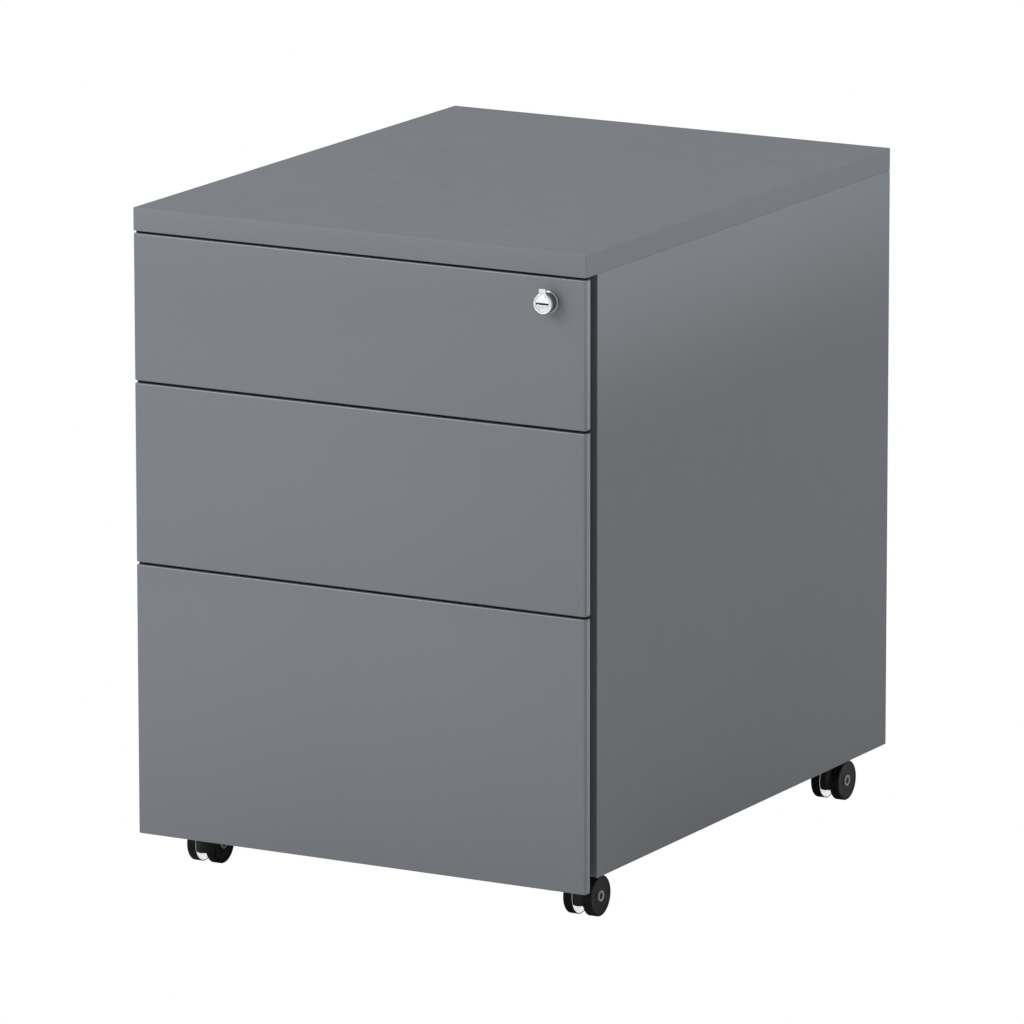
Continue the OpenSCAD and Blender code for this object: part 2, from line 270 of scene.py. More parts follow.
def lip_x():
    """Half the width between the side walls' lips."""
    return min(abs(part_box("left_side_wall")[1].x), abs(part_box("right_side_wall")[0].x))


def box_side(level):
    """Half the width of a drawer box, where its slides begin."""
    return -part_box(f"{level}_left_inner_slide")[1].x


# ---- materials ----

class Shader:
    """A Principled material and short names for the nodes that feed it."""

    def __init__(self, name, **values):
        self.material = bpy.data.materials.new(name)
        self.material.use_nodes = True
        self.tree = self.material.node_tree
        self.shader = self.tree.nodes["Principled BSDF"]
        self.place = self.tree.nodes.new("ShaderNodeTexCoord").outputs["Object"]
        for key, value in values.items():
            self.shader.inputs[key.replace("_", " ")].default_value = value

    def link(self, value, socket):
        """A link if value is a socket, or else a plain value."""
        if isinstance(value, bpy.types.NodeSocket):
            self.tree.links.new(value, socket)
        else:
            socket.default_value = value

    def noise(self, scale, detail, stretch=(1, 1, 1)):
        mapping = self.tree.nodes.new("ShaderNodeMapping")
        mapping.inputs["Scale"].default_value = stretch
        self.tree.links.new(self.place, mapping.inputs["Vector"])
        node = self.tree.nodes.new("ShaderNodeTexNoise")
        node.inputs["Scale"].default_value = scale
        node.inputs["Detail"].default_value = detail
        self.tree.links.new(mapping.outputs["Vector"], node.inputs["Vector"])
        return node.outputs["Fac"]

    def span(self, value, low, high, to_low=0.0, to_high=1.0):
        """Maps low to high onto another range, with its ends held."""
        node = self.tree.nodes.new("ShaderNodeMapRange")
        for key, number in zip(("Value", "From Min", "From Max", "To Min", "To Max"),
                               (value, low, high, to_low, to_high)):
            self.link(number, node.inputs[key])
        return node.outputs["Result"]

    def math(self, operation, a, b):
        node = self.tree.nodes.new("ShaderNodeMath")
        node.operation = operation
        self.link(a, node.inputs[0])
        self.link(b, node.inputs[1])
        return node.outputs[0]

    def mix_colour(self, factor, a, b):
        """The Mix node's colour sockets: a is its input 6, b its input 7, and the result its output 2."""
        node = self.tree.nodes.new("ShaderNodeMix")
        node.data_type = "RGBA"
        self.link(factor, node.inputs[0])
        self.link(a, node.inputs[6])
        self.link(b, node.inputs[7])
        return node.outputs[2]

    def edges(self, radius):
        """1 on edges that stand out, 0 on flat faces."""
        bevel = self.tree.nodes.new("ShaderNodeBevel")
        bevel.samples = 4
        bevel.inputs["Radius"].default_value = radius
        geometry = self.tree.nodes.new("ShaderNodeNewGeometry")
        dot = self.tree.nodes.new("ShaderNodeVectorMath")
        dot.operation = "DOT_PRODUCT"
        self.tree.links.new(bevel.outputs["Normal"], dot.inputs[0])
        self.tree.links.new(geometry.outputs["Normal"], dot.inputs[1])
        return self.span(dot.outputs["Value"], 0.995, 0.85)

    def bump(self, height, distance, normal=None):
        node = self.tree.nodes.new("ShaderNodeBump")
        node.inputs["Distance"].default_value = distance
        self.tree.links.new(height, node.inputs["Height"])
        if normal:
            self.tree.links.new(normal, node.inputs["Normal"])
        return node.outputs["Normal"]

    def feed(self, **sockets):
        for key, value in sockets.items():
            self.tree.links.new(value, self.shader.inputs[key.replace("_", " ")])
        return self.material


def colour(r, g, b):
    return (r, g, b, 1.0)


def coated(name, base, light, worn, metallic=0.1, rough=0.55, gloss=0.5, coat=0.0, coat_ior=1.5):
    """Powder coat, or a foil that looks like it: fine flakes, orange peel, and a painted highlight along the
    edges, stronger in some places than others.
    """
    s = Shader(name, Metallic=metallic, Coat_Weight=coat, Coat_Roughness=0.15, Coat_IOR=coat_ior,
               Specular_IOR_Level=gloss)
    cloud = s.noise(5, 2)
    flake = s.noise(2600, 1)
    tone = s.mix_colour(s.span(cloud, 0.2, 0.8), base, light)
    tone = s.mix_colour(s.span(flake, 0.56, 0.72, 0, 0.22), tone, worn)
    # painted highlight: the edges are mixed towards the lighter colour, more in some places than others
    edge_highlight = s.math("MULTIPLY", s.edges(0.9 * MM), s.span(s.noise(60, 3), 0.35, 0.7, 0.15, 0.6))
    tone = s.mix_colour(edge_highlight, tone, worn)
    roughness = s.span(s.noise(38, 3), 0.25, 0.75, rough - 0.02, rough + 0.02)
    peel = s.bump(s.noise(520, 2), 0.012 * MM)
    grain = s.bump(flake, 0.004 * MM, normal=peel)
    return s.feed(Base_Color=tone, Roughness=roughness, Normal=grain)


def galvanised(name, base, bright, rough, along):
    """Zinc-plated steel, faintly drawn along one direction."""
    s = Shader(name, Metallic=1.0)
    stretch = tuple(0.03 if axis == along else 1.0 for axis in "XYZ")
    lines = s.noise(900, 3, stretch)
    cloud = s.noise(45, 2)
    tone = s.mix_colour(s.span(cloud, 0.3, 0.7), base, bright)
    # painted highlight: the edges are mixed towards the bright colour
    tone = s.mix_colour(s.math("MULTIPLY", s.edges(0.5 * MM), 0.6), tone, bright)
    roughness = s.span(lines, 0.3, 0.7, rough - 0.06, rough + 0.08)
    return s.feed(Base_Color=tone, Roughness=roughness, Normal=s.bump(lines, 0.004 * MM))


def moulded(name, base, light, rough, gloss, grain=0.01, painted_glow=0.0):
    """Moulded plastic with a fine spark-eroded grain. Its emission is painted light, which lifts a part in
    shade towards white.
    """
    s = Shader(name, Specular_IOR_Level=gloss, Emission_Color=light, Emission_Strength=painted_glow)
    cloud = s.noise(90, 3)
    tone = s.mix_colour(s.span(cloud, 0.3, 0.7), base, light)
    # painted highlight: the edges are mixed towards the light colour
    tone = s.mix_colour(s.math("MULTIPLY", s.edges(0.5 * MM), 0.35), tone, light)
    roughness = s.span(s.noise(240, 3), 0.3, 0.7, rough - 0.05, rough + 0.07)
    return s.feed(Base_Color=tone, Roughness=roughness, Normal=s.bump(s.noise(1500, 2), grain * MM))


def polished(name, base, bright, rough):
    """Plated and polished metal, with a faint haze."""
    s = Shader(name, Metallic=1.0)
    tone = s.mix_colour(s.span(s.noise(160, 3), 0.3, 0.7), base, bright)
    # painted highlight: the edges are mixed towards the bright colour
    tone = s.mix_colour(s.math("MULTIPLY", s.edges(0.3 * MM), 0.5), tone, bright)
    roughness = s.span(s.noise(420, 3), 0.3, 0.7, rough - 0.04, rough + 0.06)
    return s.feed(Base_Color=tone, Roughness=roughness, Normal=s.bump(s.noise(700, 2), 0.003 * MM))


def white_floor():
    s = Shader("white_floor", Base_Color=colour(0, 0, 0), Specular_IOR_Level=0.0,
               Emission_Color=colour(1, 1, 1), Emission_Strength=1.0)
    return s.material


def pale_floor():
    s = Shader("pale_floor", Base_Color=colour(0.80, 0.80, 0.80), Roughness=0.8, Specular_IOR_Level=0.0)
    return s.material


# One paint on the body and the fronts, with more gloss on the fronts' upright returns
PAINT = {
    "base": colour(0.146, 0.155, 0.169),
    "light": colour(0.152, 0.161, 0.175),
    # lighter colour for the flakes, and for the painted highlight on the edges
    "worn": colour(0.30, 0.31, 0.33),
    "metallic": 0.3,
    "rough": 0.45,
}
SILVER = coated("silver_coat", coat=0.25, **PAINT)
RETURN = coated("silver_coat_return", coat=1.0, coat_ior=2.0, **PAINT)
BOARD = coated("silver_board_foil", colour(0.137, 0.149, 0.167), colour(0.142, 0.154, 0.172),
               colour(0.28, 0.29, 0.31), metallic=0.2)
BAND = coated("silver_edge_band", colour(0.166, 0.175, 0.189), colour(0.174, 0.183, 0.197),
              colour(0.28, 0.29, 0.31), gloss=0.1)
# darker copy of the edge band for the two side strips: painted shade
SIDE_BAND_PAINTED_SHADE = coated("silver_side_band", colour(0.134, 0.141, 0.151), colour(0.140, 0.147, 0.157),
                   colour(0.24, 0.25, 0.27), gloss=0.1)
# dark coat: the drawer boxes' colour, and on the rails painted shade behind the gaps
DARK = coated("dark_coat", colour(0.021, 0.021, 0.023), colour(0.027, 0.027, 0.029),
              colour(0.07, 0.07, 0.075), rough=0.5)

ZINC = galvanised("zinc_plate", colour(0.55, 0.57, 0.60), colour(0.70, 0.71, 0.73), rough=0.34, along="Y")
BRIGHT = galvanised("bright_zinc", colour(0.62, 0.63, 0.65), colour(0.78, 0.79, 0.80), rough=0.26, along="Z")
CHROME = polished("chrome_plate", colour(0.88, 0.89, 0.91), colour(0.94, 0.94, 0.95), rough=0.24)
# chrome with a dark colour: a painted reflection of dark surroundings, used on the lock's barrel
CHROME_PAINTED_DARK = polished("dark_nickel", colour(0.27, 0.278, 0.294), colour(0.38, 0.39, 0.408), rough=0.28)

BLACK = moulded("black_nylon", colour(0.006, 0.006, 0.0065), colour(0.010, 0.010, 0.0105),
                rough=0.42, gloss=0.3)
TREAD = moulded("black_rubber", colour(0.006, 0.006, 0.0065), colour(0.011, 0.011, 0.0115),
                rough=0.55, gloss=0.15, grain=0.02)
# the pale cores glow: painted light that lifts them out of the shade between the wheels towards white
PALE_PAINTED_GLOW = moulded("pale_nylon", colour(0.88, 0.88, 0.87), colour(0.93, 0.93, 0.92),
               rough=0.42, gloss=0.5, painted_glow=0.5)
GREY = moulded("grey_nylon", colour(0.34, 0.34, 0.34), colour(0.44, 0.44, 0.44), rough=0.32, gloss=0.5)


# ---- body ----

def make_top():
    """Board with a glued edge band on all four sides."""
    low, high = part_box("top_panel")
    band = 0.9 * MM
    corner = 1.8 * MM
    ease = 0.4 * MM
    groove = 0.12 * MM
    centre = ((low.x + high.x) / 2, (low.y + high.y) / 2)
    half = ((high.x - low.x) / 2, (high.y - low.y) / 2)
    bm = bmesh.new()
    inner = (half[0] - band, half[1] - band)
    block(bm, (centre[0] - inner[0], centre[1] - inner[1], low.z),
          (centre[0] + inner[0], centre[1] + inner[1], high.z))
    piece("top_board", bm, BOARD, "root", ["top_panel"], edge=groove, segments=1)

    # the band is one ring: its section is lofted round the board
    section = [(0, low.z + groove), (groove, low.z)]
    section += arc((band - ease, low.z + ease), ease, -90, 0, 4)
    section += arc((band - ease, high.z - ease), ease, 0, 90, 4)
    section += [(groove, high.z), (0, high.z - groove)]
    outlines = []
    for out, z in section:
        plan = rounded_box(inner[0] + out, inner[1] + out, corner - band + out, 5, centre)
        outlines.append([(x, y, z) for x, y in plan])
    bm = bmesh.new()
    skin(bm, outlines, closed=True)
    obj = piece("top_edge_band", bm, BAND, "root")
    # the strips on the two sides, picked by which way they face, get a darker copy of the band's colour:
    # painted shade
    obj.data.materials.append(SIDE_BAND_PAINTED_SHADE)
    for face in obj.data.polygons:
        if abs(face.normal.x) > 0.7:
            face.material_index = 1


def make_side_wall(side, s):
    """Wall with front and rear flanges and lips, folded from one sheet."""
    node = f"{side}_side_wall"
    low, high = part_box(node)
    outer = max(abs(low.x), abs(high.x)) - SHEET / 2
    lip = min(abs(low.x), abs(high.x)) + SHEET / 2
    front, back = low.y + SHEET / 2, high.y - SHEET / 2
    front_lip, rear_lip = 30 * MM, 72 * MM
    path = [(s * lip, low.y + front_lip), (s * lip, front), (s * outer, front),
            (s * outer, back), (s * lip, back), (s * lip, high.y - rear_lip)]
    bm = bmesh.new()
    prism(bm, folded(path, SHEET, 0), "Z", low.z, high.z)
    # the flanges and lips end above the base
    cutter = bmesh.new()
    x = sorted((s * (lip - 5 * MM), s * (outer - SHEET / 2 - CLEAR)))
    block(cutter, (x[0], low.y - MM, low.z - MM), (x[1], high.y + MM, low.z + SHEET + CLEAR))
    bm = combined(bm, cutter)
    piece(node, bm, SILVER, "root", [node], edge=0.4 * MM)


def make_back():
    """Panel with a fold under the board, set between the side walls' lips."""
    low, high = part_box("back_panel")
    plate_y = high.y - SHEET / 2
    fold_z = high.z - SHEET / 2
    bm = bmesh.new()
    path = [(plate_y, low.z), (plate_y, fold_z), (low.y, fold_z)]
    prism(bm, folded(path, SHEET), "X", low.x, high.x)
    cutter = bmesh.new()
    for a, b in ((low.x - MM, -lip_x()), (lip_x(), high.x + MM)):
        block(cutter, (a, low.y - MM, low.z - MM), (b, high.y - SHEET, high.z + MM))
    bm = combined(bm, cutter)
    piece("back_panel", bm, SILVER, "root", ["back_panel"], edge=0.3 * MM)


def make_base():
    """Base with a front lip and a hole for each caster's stud, and the weld nuts on it."""
    low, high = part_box("base_panel")
    plate_z = low.z + SHEET / 2
    front_lip = 11 * MM
    hole_r, bore_r = 4.2 * MM, 4.1 * MM
    nut_r, nut_h = 7 * MM, 8 * MM
    bm = bmesh.new()
    path = [(low.y + SHEET / 2, low.z + front_lip), (low.y + SHEET / 2, plate_z), (high.y, plate_z)]
    prism(bm, folded(path, SHEET), "X", low.x, high.x)
    cutter = bmesh.new()
    for a, b in ((low.x - MM, -lip_x()), (lip_x(), high.x + MM)):
        block(cutter, (a, low.y - MM, low.z + SHEET), (b, low.y + 5 * MM, low.z + 2 * front_lip))
    for _, x, y in stems():
        rod(cutter, hole_r, -MM, 3 * MM, (x, y, low.z), "Z")
    bm = combined(bm, cutter)
    piece("base_panel", bm, SILVER, "root", ["base_panel"], edge=0.3 * MM)
    for name, x, y in stems():
        bm = bmesh.new()
        prism(bm, polygon(6, nut_r, (x, y)), "Z", low.z + SHEET, low.z + SHEET + nut_h)
        bore = bmesh.new()
        rod(bore, bore_r, 0, 20 * MM, (x, y, low.z), "Z")
        bm = combined(bm, bore)
        piece(f"{name}_weld_nut", bm, ZINC, "root", edge=0.35 * MM, segments=2)


def make_rails():
    """Rails behind the gaps of the fronts: an angle at the top, and below it channels open to the back. They
    get the dark coat, which paints the shade seen through the gaps.
    """
    for name in ("upper_rail", "middle_rail", "lower_rail"):
        low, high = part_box(name)
        web, top, bottom = low.y + SHEET / 2, high.z - SHEET / 2, low.z + SHEET / 2
        path = [(web, low.z), (web, top), (high.y, top)]
        if name != "upper_rail":
            path = [(high.y, bottom), (web, bottom), (web, top), (high.y, top)]
        bm = bmesh.new()
        prism(bm, folded(path, SHEET), "X", low.x, high.x)
        piece(name, bm, DARK, "root", [name], edge=0.25 * MM)


def make_screw():
    """Mesh of a pan-head screw with a cross recess: seat at the origin, shank along +Z."""
    head_r, head_h, shank_r, length = 4 * MM, 1.2 * MM, 1.9 * MM, 12 * MM
    thread, pitch = 0.35 * MM, 0.9 * MM
    profile = [(0, -head_h), (2.6 * MM, -head_h), (3.4 * MM, -0.85 * head_h),
               (head_r - 0.1 * MM, -0.45 * head_h), (head_r, 0), (shank_r - thread, 0)]
    for k in range(int((length - 2 * MM) / pitch)):
        z = MM / 2 + k * pitch
        profile += [(shank_r - thread, z), (shank_r, z + pitch / 2)]
    profile += [(shank_r - thread, length - 1.5 * MM), (0, length)]
    bm = bmesh.new()
    lathe(bm, profile, (0, 0, 0), "Z", 32)
    arm, half, depth = 2.1 * MM, 0.375 * MM, 0.9 * MM
    recess = bmesh.new()
    cross = [(arm, -half), (arm, half), (half, half), (half, arm), (-half, arm), (-half, half),
             (-arm, half), (-arm, -half), (-half, -half), (-half, -arm), (half, -arm), (half, -half)]
    prism(recess, cross, "Z", -head_h - MM, depth - head_h)
    bm = combined(bm, recess)
    mesh = bpy.data.meshes.new("screw")
    bm.to_mesh(mesh)
    bm.free()
    return mesh


def screw_places():
    """Each body screw: seat of its head and direction of its shank."""
    top_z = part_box("top_panel")[0].z - SHEET
    rail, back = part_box("upper_rail")[0].y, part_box("back_panel")[1].y
    for x in (-120 * MM, 120 * MM):
        for y in (rail + 11 * MM, back - 11 * MM):
            yield (x, y, top_z), (0, 0, 1)
    back_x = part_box("back_panel")[1].x - 7 * MM
    for x in (-back_x, back_x):
        for z in (80 * MM, 290 * MM, 500 * MM):
            yield (x, back, z), (0, -1, 0)


def make_body_screws():
    """All body screws in one piece, as copies of one mesh."""
    screw = make_screw()
    whole = bmesh.new()
    for place, direction in screw_places():
        turn = Vector((0, 0, 1)).rotation_difference(Vector(direction))
        one = screw.copy()
        one.transform(Matrix.LocRotScale(place, turn, None))
        whole.from_mesh(one)
        bpy.data.meshes.remove(one)
    bpy.data.meshes.remove(screw)
    piece("body_screws", whole, BRIGHT, "root", ["body_screws"])


# ---- drawers ----

def front_outline(half_w, front, back, inset, r, steps=7):
    """Plan of a drawer front, drawn in by an inset on all sides but its back."""
    w, y = half_w - inset, front + inset
    r = r - inset
    points = [(-w, back)]
    points += arc((-w + r, y + r), r, 180, 270, steps)
    points += arc((w - r, y + r), r, 270, 360, steps)
    points.append((w, back))
    return points


def make_front(level):
    """Front pressed from one sheet: wide round upright edges, tighter level ones."""
    node = f"{level}_drawer_front"
    low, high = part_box(node)
    upright_r, level_r, rim_r = 2.4 * MM, 1.1 * MM, 0.3 * MM
    turn = [math.radians(90 * k / 5) for k in range(6)]
    rise = [(level_r * (1 - math.sin(a)), level_r * (1 - math.cos(a))) for a in turn]
    levels = [(inset, low.z + z) for inset, z in rise]
    levels += [(inset, high.z - z) for inset, z in reversed(rise)]
    outlines = []
    for inset, z in levels:
        plan = front_outline(high.x, low.y, high.y, inset, upright_r)
        outlines.append([(x, y, z) for x, y in plan])
    bm = bmesh.new()
    rings = skin(bm, outlines)
    bm.faces.new(rings[0][::-1])
    bm.faces.new(rings[-1])
    # the pocket behind the face, and the hole for the lock
    cutter = bmesh.new()
    block(cutter, (low.x + SHEET, low.y + SHEET, low.z + SHEET),
          (high.x - SHEET, high.y + MM, high.z - SHEET))
    bm = combined(bm, cutter)
    if level == "upper":
        bm = combined(bm, lock_hole(low.y - MM, high.y + MM))
    obj = piece(node, bm, SILVER, f"{level}_drawer", [node])
    soften(obj, rim_r, 2)
    # the upright returns are glossier, and show as light lines beside the face
    obj.data.materials.append(RETURN)
    for face in obj.data.polygons:
        if abs(face.center.x) > high.x - 0.01 * MM:
            face.material_index = 1


def lock_hole(start, end):
    """Cutter for the lock's hole, from one depth to another."""
    hole = bmesh.new()
    axis = lock_axis()
    rod(hole, 9 * MM, start, end, (axis.x, 0, axis.z), "Y", 64)
    return hole


def make_gap_strip(level):
    """Strip of black rubber along the top of a front, which closes the gap above it; its black also paints
    the deep shade in the gap.
    """
    low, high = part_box(f"{level}_drawer_front")
    leg, foot, bead, rise, end = 1.2 * MM, 5 * MM, 3 * MM, 1.5 * MM, 0.4 * MM
    y, z = high.y + CLEAR, high.z + CLEAR
    outline = [(y, z - foot), (y + leg, z - foot), (y + leg, z + rise), (y - bead, z + rise),
               (y - bead, z), (y, z)]
    bm = bmesh.new()
    prism(bm, outline, "X", low.x + end, high.x - end)
    # black: painted shade in the gap above the front
    piece(f"{level}_gap_strip", bm, TREAD, f"{level}_drawer", edge=0.3 * MM)


def make_liner(level):
    """Plate that closes the back of a front."""
    node = f"{level}_front_liner"
    low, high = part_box(node)
    bm = bmesh.new()
    block(bm, low, high)
    if level == "upper":
        bm = combined(bm, lock_hole(low.y - MM, high.y + MM))
    piece(node, bm, SILVER, f"{level}_drawer", [node], edge=0.25 * MM)


def make_box(level):
    """Drawer box: folded trough and two end plates."""
    node = f"{level}_drawer_box"
    low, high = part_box(node)
    t = BOX_SHEET
    back = high.y - CATCH
    top = low.z + BOX_H[level]
    rim = 5 * MM
    path = []
    for s in (-1, 1):
        wall = s * (high.x - t / 2)
        corners = [(wall - s * (rim - t / 2), top - t / 2), (wall, top - t / 2), (wall, low.z + t / 2)]
        path += corners if s < 0 else corners[::-1]
    bm = bmesh.new()
    prism(bm, folded(path, t, 0.9 * MM), "Y", low.y, back)
    piece(node, bm, DARK, f"{level}_drawer", [node], edge=0.22 * MM)
    inner, foot, shoulder = high.x - t - CLEAR, low.z + t + CLEAR, top - t - CLEAR
    outline = [(-inner, foot), (inner, foot), (inner, shoulder), (inner - rim, shoulder),
               (inner - rim, top), (rim - inner, top), (rim - inner, shoulder), (-inner, shoulder)]
    for name, start in (("front", low.y), ("back", back - t)):
        bm = bmesh.new()
        prism(bm, outline, "Y", start, start + t)
        piece(f"{level}_box_{name}", bm, DARK, f"{level}_drawer", edge=0.22 * MM)


def make_catch(level):
    """Tab behind a drawer box that the bar's hook catches."""
    low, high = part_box(f"{level}_drawer_box")
    t, drop, below = 1.5 * MM, 6 * MM, 6 * MM
    left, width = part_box("lock_bar")[0].x + 4 * MM, 12 * MM
    z = low.z + BOX_H[level] - below
    back = high.y - CATCH
    tip = high.y - t / 2
    path = [(back + 0.02 * MM, z + t / 2), (tip, z + t / 2), (tip, z - drop)]
    bm = bmesh.new()
    prism(bm, folded(path, t, 0.6 * MM), "X", left, left + width)
    piece(f"{level}_catch", bm, DARK, f"{level}_drawer", edge=0.2 * MM)


def make_rod_ear():
    """Ear on the upper box that carries the end of the lock's rod."""
    low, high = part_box("upper_drawer_box")
    axis = lock_axis()
    back = high.y - CATCH
    half, r, t, hole_r = 9 * MM, 4 * MM, 1.1 * MM, 3.1 * MM
    foot = low.z + BOX_H["upper"] - 14 * MM
    left, right = axis.x - half, high.x
    outline = [(left, foot), (right - 1.2 * MM, foot)]
    outline += arc((right - r, axis.z + half - r), r, 0, 90)
    outline += arc((left + r, axis.z + half - r), r, 90, 180)
    bm = bmesh.new()
    prism(bm, outline, "Y", back + CLEAR, back + t)
    hole = bmesh.new()
    rod(hole, hole_r, -MM, 4 * MM, (axis.x, back, axis.z), "Y")
    bm = combined(bm, hole)
    piece("lock_rod_ear", bm, ZINC, "upper_drawer", edge=0.2 * MM)


# ---- slides ----

# Kind of channel: half height, reach from the drawer box outwards, and body
CHANNELS = {
    "outer": (22.5 * MM, 4.4 * MM, 12.7 * MM, "root"),
    "mid": (19 * MM, 2.2 * MM, 9.9 * MM, "{level}_slides"),
    "inner": (15 * MM, 0.0, 7.4 * MM, "{level}_drawer"),
}


def slot_hole(bm, s, reach, y, z, half_y):
    """Cutter for a slot with round ends through a channel's web."""
    half_z, depth = 2.6 * MM, 2 * MM
    x = sorted((s * (reach - depth), s * (reach + depth)))
    prism(bm, rounded_box(half_y, half_z, min(half_y, half_z) * 0.98, 5, (y, z)), "X", *x)


def make_channel(level, kind, side, s):
    """Rolled channel with round shoulders and turned-in lips."""
    node = f"{level}_{side}_{kind}_slide"
    low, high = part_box(node)
    half_h, near, far, body = CHANNELS[kind]
    t, tuck, lip = SHEET, 0.55 * MM, 1.6 * MM
    side_x = box_side(level)
    z = (low.z + high.z) / 2
    shoulder = half_h - t / 2
    web, tip = (near + t / 2, far) if kind == "inner" else (far - t / 2, near)
    bend = tip - lip if tip > web else tip + lip
    path = [(tip, -shoulder + tuck), (bend, -shoulder), (web, -shoulder),
            (web, shoulder), (bend, shoulder), (tip, shoulder - tuck)]
    outline = [(s * (u + side_x), v + z) for u, v in folded(path, t, 1.1 * MM)]
    bm = bmesh.new()
    prism(bm, outline, "Y", low.y, high.y)
    # slots: place along the channel, and half length
    cutter = bmesh.new()
    for share, half_y in ((0.12, 4 * MM), (0.3, 9 * MM), (0.5, 3.2 * MM), (0.7, 9 * MM), (0.88, 4 * MM)):
        slot_hole(cutter, s, web + side_x, low.y + share * (high.y - low.y), z, half_y)
    bm = combined(bm, cutter)
    piece(node, bm, ZINC, body.format(level=level), [node], edge=0.2 * MM, segments=2)


def make_slides():
    for level in LEVELS:
        for side, s in SIDES.items():
            for kind in CHANNELS:
                make_channel(level, kind, side, s)
            make_ball_cages(level, side, s)


def make_ball_cages(level, side, s):
    """Rows of balls between the channels, in strips that stay with the middle channel."""
    low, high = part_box(f"{level}_{side}_mid_slide")
    z = (low.z + high.z) / 2
    ball_r, pitch, count = 1.05 * MM, 14 * MM, 12
    half_width, half_height, end = 1.7 * MM, 0.4 * MM, 6 * MM
    # height of the balls, reach from the box, and where the row starts
    rows = ((20.2 * MM, 6.6 * MM, high.y - 15 * MM - count * pitch),
            (16.4 * MM, 4.6 * MM, low.y + 12 * MM))
    cages, balls = bmesh.new(), bmesh.new()
    for height, reach, start in rows:
        x = s * (box_side(level) + reach)
        for up in (-1, 1):
            row_z = z + up * height
            for k in range(count):
                made = bmesh.ops.create_icosphere(balls, subdivisions=2, radius=ball_r)
                bmesh.ops.translate(balls, verts=made["verts"], vec=(x, start + k * pitch, row_z))
            block(cages, (x - half_width, start - end, row_z - half_height),
                  (x + half_width, start + (count - 1) * pitch + end, row_z + half_height))
    body = f"{level}_slides"
    piece(f"{level}_{side}_balls", balls, BRIGHT, body)
    piece(f"{level}_{side}_ball_cages", cages, BLACK, body, edge=0.15 * MM, segments=1)


# ---- lock ----

# Radii of the plug and the barrel, and thickness of the bright face
PLUG_R = 6.7 * MM
BARREL_R = 8.3 * MM
FACE_T = 2.1 * MM

# Round edges of the face, and of the plug and the collar
FACE_EASE = 0.6 * MM
FINE_EASE = 0.3 * MM


def make_lock_face():
    """Chrome ring round the plug, with an index tab."""
    axis = lock_axis()
    low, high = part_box("lock_housing")
    out, bore = low.y, PLUG_R + CLEAR
    profile = [(bore, out + FACE_T), (bore, out + 0.2 * MM), (bore + 0.2 * MM, out)]
    profile += arc((BARREL_R - FACE_EASE, out + FACE_EASE), FACE_EASE, -90, 0, 5)
    profile += [(BARREL_R, out + FACE_T)]
    bm = bmesh.new()
    lathe(bm, profile, (axis.x, 0, axis.z), "Y", 96)
    half, spread, top, r = 3.1 * MM, 0.9 * MM, high.z, 0.9 * MM
    foot = axis.z + PLUG_R + 0.7 * MM
    outline = [(axis.x - half - spread, foot), (axis.x + half + spread, foot), (axis.x + half, foot + MM)]
    outline += arc((axis.x + half - r, top - r), r, 0, 90, 5)
    outline += arc((axis.x - half + r, top - r), r, 90, 180, 5)
    outline.append((axis.x - half, foot + MM))
    tab = bmesh.new()
    prism(tab, outline, "Y", out + 0.02 * MM, out + 2 * MM)
    bm = combined(bm, tab, "UNION")
    piece("lock_face", bm, CHROME, "upper_drawer", ["lock_housing"], edge=0.22 * MM)


def make_lock_barrel():
    """Barrel behind the face, with a collar that sits on the drawer front; its chrome is given a dark
    colour, a painted reflection of dark surroundings.
    """
    axis = lock_axis()
    low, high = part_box("lock_housing")
    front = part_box("upper_drawer_front")[0].y
    bore, collar_r, rear_r = PLUG_R + CLEAR, 9.2 * MM, 8.95 * MM
    side_r, collar_t, groove = BARREL_R - 0.02 * MM, 1.5 * MM, 0.25 * MM
    start = low.y + FACE_T + 0.02 * MM
    profile = [(bore, high.y), (bore, start), (BARREL_R - groove, start),
               (BARREL_R - groove, start + groove), (side_r, start + 2 * groove),
               (side_r, front - collar_t - FINE_EASE)]
    profile += arc((collar_r - FINE_EASE, front - collar_t + FINE_EASE), FINE_EASE, -90, 0, 4)
    profile += [(collar_r, front), (rear_r, front + 0.01 * MM), (rear_r, high.y)]
    bm = bmesh.new()
    lathe(bm, profile, (axis.x, 0, axis.z), "Y", 96)
    piece("lock_barrel", bm, CHROME_PAINTED_DARK, "upper_drawer")


def make_lock_plug():
    """Plug that turns, and a black insert in its key slot that paints the shade deep inside it."""
    axis = lock_axis()
    out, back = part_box("lock_housing")[0].y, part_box("lock_plug")[1].y
    profile = [(0, out + 0.1 * MM), (5.2 * MM, out + 0.1 * MM), (5.5 * MM, out), (PLUG_R - FINE_EASE, out),
               (PLUG_R, out + FINE_EASE), (PLUG_R, back), (0, back)]
    bm = bmesh.new()
    lathe(bm, profile, (axis.x, 0, axis.z), "Y", 96)
    half_x, half_z, r, depth = 5.8 * MM, 0.8 * MM, 0.5 * MM, 8 * MM
    slot = bmesh.new()
    prism(slot, rounded_box(half_x, half_z, r, 4, (axis.x, axis.z)), "Y", out - MM, out + depth)
    bm = combined(bm, slot)
    piece("lock_plug", bm, CHROME, "lock_cam", ["lock_plug"], edge=0.1 * MM, segments=2)
    # black insert: painted shade in the depth of the key slot
    bm = bmesh.new()
    inside = rounded_box(half_x - CLEAR, half_z - CLEAR, r - CLEAR, 4, (axis.x, axis.z))
    prism(bm, inside, "Y", out + 0.45 * MM, out + depth - 0.1 * MM)
    piece("lock_key_slot", bm, BLACK, "lock_cam", edge=0.1 * MM, segments=1)


